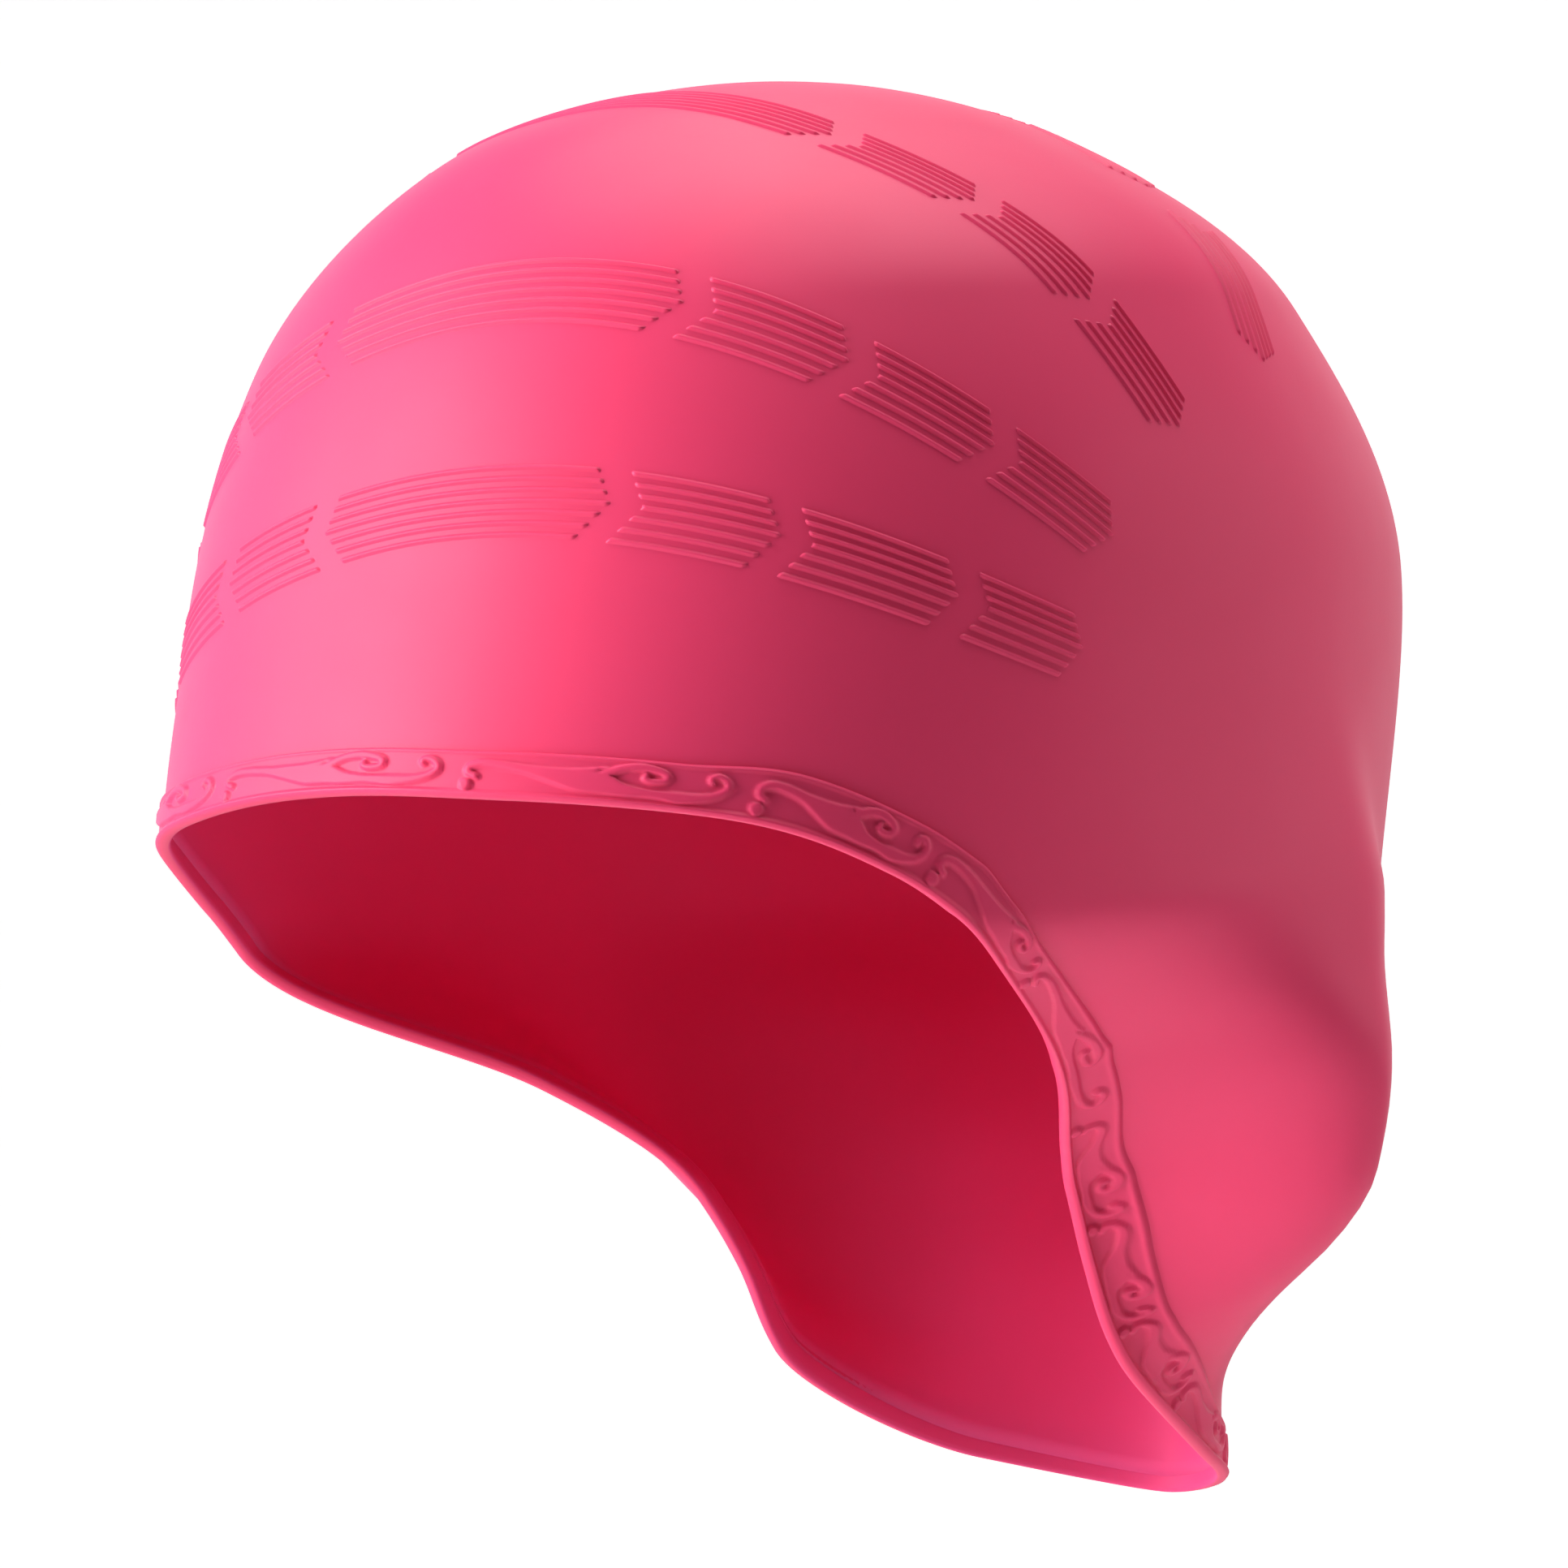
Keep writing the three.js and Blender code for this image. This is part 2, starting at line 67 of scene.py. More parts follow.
# Overall sizes of the outer skin, in model millimetres
WALL = 1.2
DOME_WIDTH = 158.0
FRONT_REACH = 105.0
BACK_REACH = 103.0
NAPE_TURN = math.radians(7.25)
FRONT_ROUNDNESS = 2.24
BACK_ROUNDNESS = 1.84
SIDE_BLEND = 0.35

# Ear pockets
POCKET_REACH = 81.5
POCKET_MIDDLE = 21.0
POCKET_FRONT_LENGTH = 35.0
POCKET_BACK_LENGTH = 25.0
POCKET_RIM_CLEARANCE = 13.0
POCKET_INNER_REACH = 17.0
POCKET_INNER_FADE = 0.7
POCKET_ROUNDNESS = 2.4
POCKET_START = 0.42
POCKET_FULL = 0.60
POCKET_TOP_SHORTENING = 0.6
POCKET_LONG = 0.72
RIGHT_POCKET_SHARE = 0.75
RIGHT_POCKET_LIFT = 8.0

# Level sections: depth, half width, front reach and back reach, as shares of the overall sizes
SECTIONS = (
    (0.0, 0.0, 0.0, 0.0),
    (0.05, 0.465, 0.52, 0.50),
    (0.175, 0.87, 0.75, 0.81),
    (0.355, 0.99, 0.89, 0.99),
    (0.555, 0.95, 1.00, 0.89),
    (0.665, 0.61, 0.915, 0.84),
    (0.75, 0.455, 0.86, 0.79),
    (0.855, 0.425, 0.76, 0.735),
    (1.0, 0.445, 0.58, 0.73),
)

# Ear pocket levels: depth and reach, as shares
POCKET_LEVELS = (
    (0.40, 0.95),
    (0.50, 0.95),
    (0.60, 0.94),
    (0.665, 0.95),
    (0.75, 0.92),
    (0.855, 0.68),
    (1.0, 0.43),
)

# The rim from forehead to nape: depth as a share, angle in degrees on the left and on the right
RIM = (
    (0.457, 0.0, 0.0),
    (0.468, 21.0, 21.0),
    (0.4925, 43.5, 43.5),
    (0.5305, 56.5, 56.5),
    (0.588, 67.2, 66.5),
    (0.660, 82.6, 82.0),
    (0.7245, 90.2, 91.5),
    (0.801, 96.9, 100.0),
    (0.8655, 104.3, 105.8),
    (0.963, 135.0, 138.0),
    (1.0, 180.0, 180.0),
)
RIM_SAMPLES = 90

# The band along the rim
BAND_WIDTH = 7.0
BAND_RAISE = 0.45
BAND_STEP_BELOW, BAND_STEP_ABOVE = 0.2, 0.25
BAND_SUNK = 0.16
BORDER_LINE_WIDTH = 0.55
BORDER_LINE_RAISE = 0.2
BORDER_LINE_INSET = 0.4
BEAD_WIDTH = 1.25
BEAD_RAISE = 0.42
BAND_SPACING = 0.3
BAND_WIDTHS = (
    (0.0, 0.89),
    (0.19, 0.90),
    (0.245, 1.10),
    (0.33, 1.10),
    (0.39, 0.93),
    (0.58, 0.90),
    (0.66, 1.0),
    (0.75, 1.20),
    (0.88, 1.08),
    (1.0, 1.0),
)
BAND_EASING = 0.02

# Raised scrolls: starts as signed shares of the rim from forehead to nape, left side positive
SCROLL_RAISE = 0.5
SCROLL_BEVEL = 0.34
DOT_RADIUS = 0.85
SCROLL_STARTS = (
    -0.86, -0.70, -0.54, -0.38, -0.22, -0.063, 0.092, 0.226,
    0.314, 0.407, 0.579, 0.645, 0.71, 0.785, 0.89, 1.0,
)
SCROLL_LEAD = 3.0
STROKE_STEPS = 7

# A scroll's strokes: share of its length along, share of the band's width up, half width as such a share
HOOK_AND_LEAF = (
    (0.035, 0.44, 0.060),
    (0.005, 0.52, 0.066),
    (0.010, 0.64, 0.070),
    (0.055, 0.715, 0.075),
    (0.13, 0.695, 0.078),
    (0.22, 0.625, 0.090),
    (0.31, 0.54, 0.155),
    (0.40, 0.47, 0.225),
    (0.48, 0.44, 0.215),
    (0.56, 0.335, 0.130),
    (0.65, 0.305, 0.085),
    (0.735, 0.285, 0.110),
    (0.81, 0.315, 0.085),
    (0.87, 0.41, 0.072),
    (0.90, 0.56, 0.068),
    (0.892, 0.70, 0.062),
    (0.865, 0.775, 0.058),
    (0.842, 0.72, 0.055),
    (0.846, 0.66, 0.050),
)
SPIRAL = (
    (0.47, 0.58, 0.080),
    (0.515, 0.70, 0.078),
    (0.56, 0.795, 0.076),
    (0.62, 0.825, 0.074),
    (0.675, 0.78, 0.070),
    (0.70, 0.69, 0.066),
    (0.69, 0.59, 0.062),
    (0.652, 0.555, 0.058),
    (0.625, 0.60, 0.054),
    (0.628, 0.67, 0.048),
)
THORN = (
    (0.38, 0.655, 0.045),
    (0.44, 0.70, 0.035),
    (0.495, 0.765, 0.015),
)
DOT = (0.0, 0.265)

# Rows of ribbed dashes, laid out in degrees round a centre below the crown
RIB_CENTRE_DEPTH = 94.0
RIB_RADIUS = 90.0
RIB_TURN = math.radians(14.0)
RIBS = 7
RIB_PITCH = 1.45
RIB_HALF_WIDTH = 0.5
RIB_RAISE = 0.36
RIB_END_FADE = 0.55
CHEVRON = 2.9
CHEVRON_SKEW = -1.1
DROOP_REFERENCE = 50.0
DASH_END_TRIM = 1.4
RIB_CREST_STEPS = (-1.0, -0.72, -0.4, -0.13, 0.13, 0.4, 0.72, 1.0)
RIB_END_STEPS = (0.0, 0.25, 0.5, 0.75, 1.0)
RIB_CUT = 1.3

# Each row's rise and droop, its middle dash, and the dashes beside it on either side
RIB_ROWS = (
    ("brow", 20.2, 8.5, 13.5, ((14.5, 27.2), (28.2, 42.5), (43.8, 55.5))),
    ("fore", 38.5, 6.5, 16.2, ((17.2, 30.0), (31.0, 43.5), (44.5, 57.0))),
    ("crown", 67.0, 6.0, 18.3, ((19.5, 32.5), (33.5, 45.5), (46.5, 58.8))),
    ("rear", 107.0, 10.0, 18.0, ((20.0, 33.0), (40.0, 57.0))),
)

# How far relief patches lie under the skin round the relief
PATCH_UNDER = 0.05
PATCH_BASE = 0.55
PATCH_MARGIN = 0.9

# Fineness of the shell
SHELL_COLUMNS = 360
SHELL_ROWS = 150
INSIDE_ROWS = 90
EDGE_ROWS = 4

# The ring where the shell's rows meet the band, and the shell's edge hidden in the band
MEETING_GAP = 4.0
MEETING_SPREAD = 5.0
SHELL_EDGE_GAPS = (BAND_WIDTH - 0.2, BAND_WIDTH - 0.8)
SHELL_EDGE_SUNK = 0.08
SHELL_HIDDEN_GAPS = (5.8, 2.5)
SHELL_INNER_GAPS = (2.5, 5.0)

# The band's cross section: gaps above the rim outside, then gaps and heights round its turned-in edge
BAND_OUTER_GAPS = np.concatenate([
    [BAND_WIDTH + 0.6, BAND_WIDTH + 0.3],
    np.linspace(BAND_WIDTH + 0.15, BAND_WIDTH - 0.9, 8),
    np.linspace(BAND_WIDTH - 1.1, BEAD_WIDTH + 0.1, 20),
    np.linspace(BEAD_WIDTH, 0.12, 8),
])
BAND_EDGE = (
    (0.02, 0.0),
    (0.0, -0.45),
    (0.06, -0.95),
    (0.35, -WALL - 0.03),
    (1.0, -WALL - 0.04),
    (2.2, -WALL - 0.03),
    (3.2, -WALL + 0.08),
)
BAND_CORE_GAPS = (4.0, BAND_WIDTH + 0.3)
OUTER_EDGE_ROWS = 2


def column(rows, index):
    return np.array([row[index] for row in rows], float)


def smooth_curve(xs, ys, level_ends=False):
    """A cubic curve through the points that never overshoots them."""
    steps = np.diff(xs)
    rates = np.diff(ys) / steps
    slopes = np.zeros(len(xs))
    slopes[0], slopes[-1] = rates[0], rates[-1]
    for i in range(1, len(xs) - 1):
        if rates[i - 1] * rates[i] > 0:
            before = 2 * steps[i] + steps[i - 1]
            after = steps[i] + 2 * steps[i - 1]
            slopes[i] = (before + after) / (before / rates[i - 1] + after / rates[i])
    if level_ends:
        slopes[0] = slopes[-1] = 0

    def at(value):
        x = np.clip(value, xs[0], xs[-1])
        i = np.clip(np.searchsorted(xs, x, side="right") - 1, 0, len(xs) - 2)
        step = steps[i]
        t = (x - xs[i]) / step
        rest = 1 - t
        return (
            (1 + 2 * t) * rest**2 * ys[i]
            + t * rest**2 * step * slopes[i]
            + t**2 * (3 - 2 * t) * ys[i + 1]
            - t**2 * rest * step * slopes[i + 1]
        )

    return at


SECTION_ROOTS = np.sqrt(column(SECTIONS, 0))
side_of = smooth_curve(SECTION_ROOTS, column(SECTIONS, 1))
front_of = smooth_curve(SECTION_ROOTS, column(SECTIONS, 2))
back_of = smooth_curve(SECTION_ROOTS, column(SECTIONS, 3))
pocket_reach_of = smooth_curve(column(POCKET_LEVELS, 0), column(POCKET_LEVELS, 1))
RIM_STEPS = np.linspace(0, 1, len(RIM))
left_rim_angle_of = smooth_curve(RIM_STEPS, np.radians(column(RIM, 1)))
right_rim_angle_of = smooth_curve(RIM_STEPS, np.radians(column(RIM, 2)))
rim_depth_of = smooth_curve(RIM_STEPS, column(RIM, 0), level_ends=True)
band_share_of = smooth_curve(column(BAND_WIDTHS, 0), column(BAND_WIDTHS, 1), level_ends=True)


def smooth_step(value, low, high):
    t = np.clip((value - low) / (high - low), 0, 1)
    return t * t * (3 - 2 * t)


def plain_points(angle, depth):
    """The dome and nape without pockets or turn, in model millimetres."""
    root = np.sqrt(np.maximum(depth, 0))
    ahead, aside = np.cos(angle), np.sin(angle)
    front = smooth_step(ahead, -SIDE_BLEND, SIDE_BLEND)
    power = 2 / (BACK_ROUNDNESS + (FRONT_ROUNDNESS - BACK_ROUNDNESS) * front)
    reach = BACK_REACH * back_of(root) * (1 - front) + FRONT_REACH * front_of(root) * front
    x = DOME_WIDTH / 2 * side_of(root) * np.sign(aside) * np.abs(aside) ** power
    y = -reach * np.sign(ahead) * np.abs(ahead) ** power
    return np.stack([x, y, WALL - CROWN_TO_NAPE * depth], -1)


def rim_at(step):
    """The rim's angle and depth at a signed step from -1 to 1, zero at the forehead."""
    step = np.asarray(step, float)
    angle = np.where(step < 0, -right_rim_angle_of(-step), left_rim_angle_of(step))
    return angle, rim_depth_of(np.abs(step))


def evenly_spaced(points, count):
    """Points at even distances along a line."""
    lengths = np.concatenate([[0], np.cumsum(np.linalg.norm(np.diff(points, axis=0), axis=1))])
    places = np.linspace(0, lengths[-1], count)
    return np.stack([np.interp(places, lengths, points[:, i]) for i in range(3)], -1)


FINE_RIM_STEPS = np.linspace(-1, 1, 40 * RIM_SAMPLES + 1)
PLAIN_RIM = evenly_spaced(plain_points(*rim_at(FINE_RIM_STEPS)), 6 * RIM_SAMPLES + 1)
BLOCK = 8000


def gap_to_rim(points):
    """Distance to the plain rim, taken to the line between its samples so that it has no ripples."""
    flat = points.reshape(-1, 3)
    gaps = np.empty(len(flat))
    rim_square = (PLAIN_RIM**2).sum(-1)
    last = len(PLAIN_RIM) - 1
    for start in range(0, len(flat), BLOCK):
        part = flat[start:start + BLOCK]
        nearest = (rim_square - 2 * part @ PLAIN_RIM.T).argmin(1)
        best = np.full(len(part), np.inf)
        for step in (-1, 1):
            here = PLAIN_RIM[nearest]
            along = PLAIN_RIM[(nearest + step) % last] - here
            t = ((part - here) * along).sum(-1) / np.maximum((along**2).sum(-1), 1e-9)
            away = part - here - np.clip(t, 0, 1)[:, None] * along
            best = np.minimum(best, np.linalg.norm(away, axis=-1))
        gaps[start:start + BLOCK] = best
    return gaps.reshape(points.shape[:-1])


def flat_of(angle, depth):
    """Flat coordinates of a skin point: their length is the root of the depth share."""
    root = np.sqrt(depth)
    return np.stack([root * np.sin(angle), -root * np.cos(angle)], -1)


def skin_points(flat):
    """The outer skin at flat coordinates."""
    depth = (flat**2).sum(-1)
    points = plain_points(np.arctan2(flat[..., 0], -flat[..., 1]), depth)
    x, y = points[..., 0], points[..., 1]
    right = x < 0
    level = depth + np.where(right, RIGHT_POCKET_LIFT / CROWN_TO_NAPE, 0)
    away = y - POCKET_MIDDLE
    shortening = POCKET_TOP_SHORTENING * (1 - smooth_step(level, POCKET_START, POCKET_LONG))
    length = np.where(away < 0, POCKET_FRONT_LENGTH, POCKET_BACK_LENGTH * (1 - shortening))
    weight = np.exp(-np.abs(away / length) ** POCKET_ROUNDNESS)
    weight *= smooth_step(level, POCKET_START, POCKET_FULL)
    weight *= np.clip(np.abs(x) / POCKET_INNER_REACH, 0, 1) ** POCKET_INNER_FADE
    weight *= np.where(right, RIGHT_POCKET_SHARE, 1)
    swollen = weight > 1e-5
    weight[swollen] *= 1 - np.exp(-((gap_to_rim(points[swollen]) / POCKET_RIM_CLEARANCE) ** 2))
    spare = np.maximum(POCKET_REACH * pocket_reach_of(level) - np.abs(x), 0)
    x = x + np.sign(x) * weight * spare
    turn = NAPE_TURN * depth
    turned_x = x * np.cos(turn) - y * np.sin(turn)
    turned_y = x * np.sin(turn) + y * np.cos(turn)
    return np.stack([turned_x, turned_y, points[..., 2]], -1)


def skin_normals(flat):
    step = 1e-3
    across = skin_points(flat + [step, 0]) - skin_points(flat - [step, 0])
    along = skin_points(flat + [0, step]) - skin_points(flat - [0, step])
    normals = np.cross(across, along)
    return normals / np.linalg.norm(normals, axis=-1, keepdims=True)


def raised_points(flat, raise_by):
    """Points that stand raise_by above the outer skin, or inside it where it is negative."""
    raise_by = np.broadcast_to(np.asarray(raise_by, float), flat.shape[:-1])
    return skin_points(flat) + skin_normals(flat) * raise_by[..., None]


def rim_measure(side):
    steps = np.linspace(0, 1, 8 * RIM_SAMPLES + 1)
    line = skin_points(flat_of(*rim_at(side * steps)))
    lengths = np.concatenate([[0], np.cumsum(np.linalg.norm(np.diff(line, axis=0), axis=1))])
    return steps, lengths


RIM_MEASURES = {1: rim_measure(1), -1: rim_measure(-1)}
RIM_LENGTH = {side: measure[1][-1] for side, measure in RIM_MEASURES.items()}


def rim_flat(share):
    """Flat coordinates of the rim at signed shares of each side's length, forehead to nape."""
    share = np.where(share > 1, share - 2, np.where(share < -1, share + 2, share))
    steps = {
        side: side * np.interp(np.abs(share) * lengths[-1], lengths, places)
        for side, (places, lengths) in RIM_MEASURES.items()
    }
    return flat_of(*rim_at(np.where(share < 0, steps[-1], steps[1])))


def band_directions(share):
    """The rim's flat coordinates, and the flat step that rises one millimetre square to the rim."""
    step = BAND_EASING
    here = rim_flat(share)
    flat_along = rim_flat(share + step) - rim_flat(share - step)
    along = skin_points(rim_flat(share + step)) - skin_points(rim_flat(share - step))
    flat_up = -here * 2e-3
    up = skin_points(here + flat_up) - skin_points(here)
    slide = (up * along).sum(-1, keepdims=True) / (along**2).sum(-1, keepdims=True)
    up = up - along * slide
    flat_up = flat_up - flat_along * slide
    return here, flat_up / np.linalg.norm(up, axis=-1, keepdims=True)


def band_flat(share, gap):
    """Flat coordinates at gaps above the rim: one column for each share, one row for each gap."""
    here, rise = band_directions(share)
    around = np.where(np.abs(share) > 1, 2 - np.abs(share), np.abs(share))
    rise = rise * band_share_of(around)[:, None]
    return here[None] + rise[None] * np.asarray(gap, float).reshape(-1, 1, 1)


def wrapped_faces(rows, columns, closed_rows=False):
    """Quads of a grid whose columns close on themselves, as index rows."""
    last = rows if closed_rows else rows - 1
    upper = np.arange(last)[:, None] * columns
    lower = (np.arange(last)[:, None] + 1) % rows * columns
    here = np.arange(columns)[None]
    after = (here + 1) % columns
    quads = np.stack([upper + here, lower + here, lower + after, upper + after], -1)
    return quads.reshape(-1, 4)


def make_piece(name, points, faces, materials, material_index=None):
    """A smooth mesh object from model millimetres, riding on the one body."""
    mesh = bpy.data.meshes.new(name)
    mesh.from_pydata((np.asarray(points) * MM).tolist(), [], [list(map(int, face)) for face in faces])
    for material in materials:
        mesh.materials.append(material)
    if material_index is not None:
        mesh.polygons.foreach_set("material_index", np.asarray(material_index, np.int32))
    mesh.shade_smooth()
    mesh.validate()
    mesh.update()
    piece = bpy.data.objects.new(name, mesh)
    bpy.context.scene.collection.objects.link(piece)
    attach(piece, "root")
    return piece


def eased_ring(flat, spread):
    """A closed ring of flat coordinates with its sharp turns eased over some columns."""
    reach = int(3 * spread)
    weights = np.exp(-0.5 * (np.arange(-reach, reach + 1) / spread) ** 2)
    weights /= weights.sum()
    steps = range(-reach, reach + 1)
    return sum(weight * np.roll(flat, step, axis=0) for weight, step in zip(weights, steps))


def dome_rows(share, row_parts, meeting):
    """Flat coordinates of rings from the crown down to the meeting ring above the band."""
    whole = np.arctan2(meeting[:, 0], -meeting[:, 1])
    whole = np.where((share > 0.99) & (whole < 0), whole + 2 * math.pi, whole)
    depth = (meeting**2).sum(-1)
    part = np.asarray(row_parts)[:, None]
    angle = math.pi * share * (1 - part**2) + whole * part**2
    return flat_of(angle, depth * part**2)


def make_shell(outside, inside):
    """The outer skin, an edge hidden in the band, and the inner skin, as one closed piece."""
    share = 2 * (np.arange(SHELL_COLUMNS) + 1) / SHELL_COLUMNS - 1
    outer_parts = (np.arange(SHELL_ROWS) + 1) / SHELL_ROWS
    inner_parts = (INSIDE_ROWS - np.arange(INSIDE_ROWS)) / INSIDE_ROWS
    under_band, tucked = band_flat(share, SHELL_EDGE_GAPS)
    meeting = eased_ring(band_flat(share, BAND_WIDTH + MEETING_GAP)[0], MEETING_SPREAD)
    outer = dome_rows(share, outer_parts, meeting)
    edge_parts = (np.arange(EDGE_ROWS)[:, None, None] + 1) / EDGE_ROWS
    edge = np.concatenate([meeting + (under_band - meeting) * edge_parts, tucked[None]])
    hidden = band_flat(share, SHELL_HIDDEN_GAPS)
    inner_edge = band_flat(share, SHELL_INNER_GAPS)
    inner = dome_rows(share, inner_parts, meeting)
    rings = [
        raised_points(outer, 0),
        raised_points(edge, np.array([0] * EDGE_ROWS + [-SHELL_EDGE_SUNK])[:, None]),
        raised_points(hidden, -0.5 * WALL),
        raised_points(inner_edge, -WALL),
        raised_points(inner, -WALL),
    ]
    grid = np.concatenate(rings)
    rows = len(grid)
    crown = raised_points(np.zeros((2, 2)), np.array([0, -WALL]))
    points = np.concatenate([crown, grid.reshape(-1, 3)])
    quads = wrapped_faces(rows, SHELL_COLUMNS) + 2
    here = np.arange(SHELL_COLUMNS)
    after = (here + 1) % SHELL_COLUMNS
    top = np.stack([0 * here, here + 2, after + 2], -1)
    last = (rows - 1) * SHELL_COLUMNS + 2
    under = np.stack([0 * here + 1, after + last, here + last], -1)
    faces = [*top, *quads, *under]
    outer_rings = SHELL_ROWS + len(edge) + 1
    quad_ring = np.repeat(np.arange(rows - 1), SHELL_COLUMNS)
    index = np.concatenate([0 * here, np.where(quad_ring < outer_rings, 0, 1), 0 * here + 1])
    return make_piece("cap_shell", points, faces, [outside, inside], index)


def smooth_stroke(rows):
    """A stroke's middle line and half widths along a smooth curve through its rows."""
    ends = np.vstack([2 * rows[0] - rows[1], rows, 2 * rows[-1] - rows[-2]])
    made = []
    for i in range(1, len(ends) - 2):
        a, b, c, d = ends[i - 1:i + 3]
        square = 2 * a - 5 * b + 4 * c - d
        cube = 3 * b - a - 3 * c + d
        for t in np.arange(STROKE_STEPS) / STROKE_STEPS:
            made.append(0.5 * (2 * b + (c - a) * t + square * t**2 + cube * t**3))
    made.append(rows[-1])
    return np.array(made)


def depth_in_stroke(points, stroke):
    """How far points lie inside a stroke's outline, negative outside it."""
    starts, ends = stroke[:-1], stroke[1:]
    along = ends[:, :2] - starts[:, :2]
    offset = points[:, None] - starts[None, :, :2]
    t = np.clip((offset * along).sum(-1) / np.maximum((along**2).sum(-1), 1e-9), 0, 1)
    distance = np.linalg.norm(offset - t[..., None] * along, axis=-1)
    half = starts[:, 2] + t * (ends[:, 2] - starts[:, 2])
    return (half - distance).max(1)


def rounded_rise(depth, bevel):
    """A rise from 0 to 1 with a rounded shoulder, centred on an outline."""
    t = np.clip(depth / bevel + 0.5, 0, 1)
    return np.sin(t * math.pi / 2) ** 1.5


def scroll_heights(share, gaps):
    """Height of the scrolls above the band: one row for each gap, one column for each share."""
    heights = np.zeros((len(gaps), len(share)))
    for start, end in zip(SCROLL_STARTS[:-1], SCROLL_STARTS[1:]):
        reach = (end - start) * RIM_LENGTH[-1 if start < 0 else 1]
        near = np.nonzero((share > start - SCROLL_LEAD / reach) & (share < end))[0]
        along = (share[near] - start) / (end - start) * reach
        grid = np.stack(np.broadcast_arrays(along[None], gaps[:, None]), -1).reshape(-1, 2)
        inside = np.full(len(grid), -9.0)
        for rows in (HOOK_AND_LEAF, SPIRAL, THORN):
            stroke = smooth_stroke(np.array(rows) * [reach, BAND_WIDTH, BAND_WIDTH])
            inside = np.maximum(inside, depth_in_stroke(grid, stroke))
        dot = np.array([DOT[0] * reach, DOT[1] * BAND_WIDTH])
        inside = np.maximum(inside, DOT_RADIUS - np.linalg.norm(grid - dot, axis=1))
        rise = rounded_rise(inside, SCROLL_BEVEL) * SCROLL_RAISE
        block = heights[:, near]
        heights[:, near] = np.maximum(block, rise.reshape(block.shape))
    return heights


def band_profile(gaps):
    """Height of the band above the skin at each gap, without the scrolls."""
    step = smooth_step(-gaps, -BAND_WIDTH - BAND_STEP_ABOVE, -BAND_WIDTH + BAND_STEP_BELOW)
    off_line = (gaps - BAND_WIDTH + BORDER_LINE_INSET) / (BORDER_LINE_WIDTH / 2)
    line = np.exp(-(off_line**2)) * BORDER_LINE_RAISE
    off_bead = np.clip((gaps - BEAD_WIDTH / 2) / (BEAD_WIDTH / 2), -1, 1)
    bead = BEAD_RAISE * np.cos(off_bead * math.pi / 2) ** 2
    return BAND_RAISE * step - BAND_SUNK * (1 - step) + line + bead


def make_band(outside, inside):
    """The band with its border line, scrolls, bead and turned-in edge, as one closed piece."""
    count = 2 * int(round((RIM_LENGTH[1] + RIM_LENGTH[-1]) / BAND_SPACING / 2))
    share = 2 * (np.arange(count) + 1) / count - 1
    gaps = BAND_OUTER_GAPS
    heights = band_profile(gaps)[:, None] + scroll_heights(share, gaps)
    outer = raised_points(band_flat(share, gaps), heights)
    edge = raised_points(band_flat(share, column(BAND_EDGE, 0)), column(BAND_EDGE, 1)[:, None])
    core = raised_points(band_flat(share, BAND_CORE_GAPS), -0.5 * WALL)
    grid = np.concatenate([outer, edge, core])
    rows = len(grid)
    quads = wrapped_faces(rows, count, closed_rows=True)
    ring = np.repeat(np.arange(rows), count)
    turned_in = (ring >= len(gaps) + OUTER_EDGE_ROWS) & (ring < rows - len(BAND_CORE_GAPS))
    return make_piece("rim_band", grid.reshape(-1, 3), quads, [outside, inside], turned_in.astype(int))


def flat_towards(directions):
    """Flat coordinates of the skin points that lie in given directions from the rib rows' centre."""
    centre = np.array([0, 0, WALL - RIB_CENTRE_DEPTH])
    beside = np.cross([0, 0, 1], directions)
    beside /= np.linalg.norm(beside, axis=-1, keepdims=True)
    above = np.cross(directions, beside)

    def miss(flat):
        away = skin_points(flat) - centre
        return np.stack([(away * beside).sum(-1), (away * above).sum(-1)], -1)

    depth = np.maximum(RIB_CENTRE_DEPTH * (1 - directions[..., 2]) / CROWN_TO_NAPE, 1e-4)
    flat = flat_of(np.arctan2(directions[..., 0], -directions[..., 1]), depth)
    step = 1e-4
    for _ in range(7):
        now = miss(flat)
        dx = (miss(flat + [step, 0]) - now) / step
        dy = (miss(flat + [0, step]) - now) / step
        size = dx[..., 0] * dy[..., 1] - dx[..., 1] * dy[..., 0]
        flat_x = flat[..., 0] - (now[..., 0] * dy[..., 1] - now[..., 1] * dy[..., 0]) / size
        flat_y = flat[..., 1] - (dx[..., 0] * now[..., 1] - dx[..., 1] * now[..., 0]) / size
        flat = np.stack([flat_x, flat_y], -1)
    return flat


def rib_row_flat(rise, droop, sideways, offset, shift):
    """Flat coordinates in a rib row: degrees sideways, millimetres up across the ribs and along them."""
    aside = np.radians(sideways) + shift / RIB_RADIUS
    level = np.radians(rise - droop * (sideways / DROOP_REFERENCE) ** 2)
    up = level + offset / (RIB_RADIUS * np.cos(aside))
    x, y, z = np.sin(aside), -np.cos(aside) * np.cos(up), np.cos(aside) * np.sin(up)
    turned_x = x * math.cos(RIB_TURN) - y * math.sin(RIB_TURN)
    turned_y = x * math.sin(RIB_TURN) + y * math.cos(RIB_TURN)
    return flat_towards(np.stack(np.broadcast_arrays(turned_x, turned_y, z), -1))


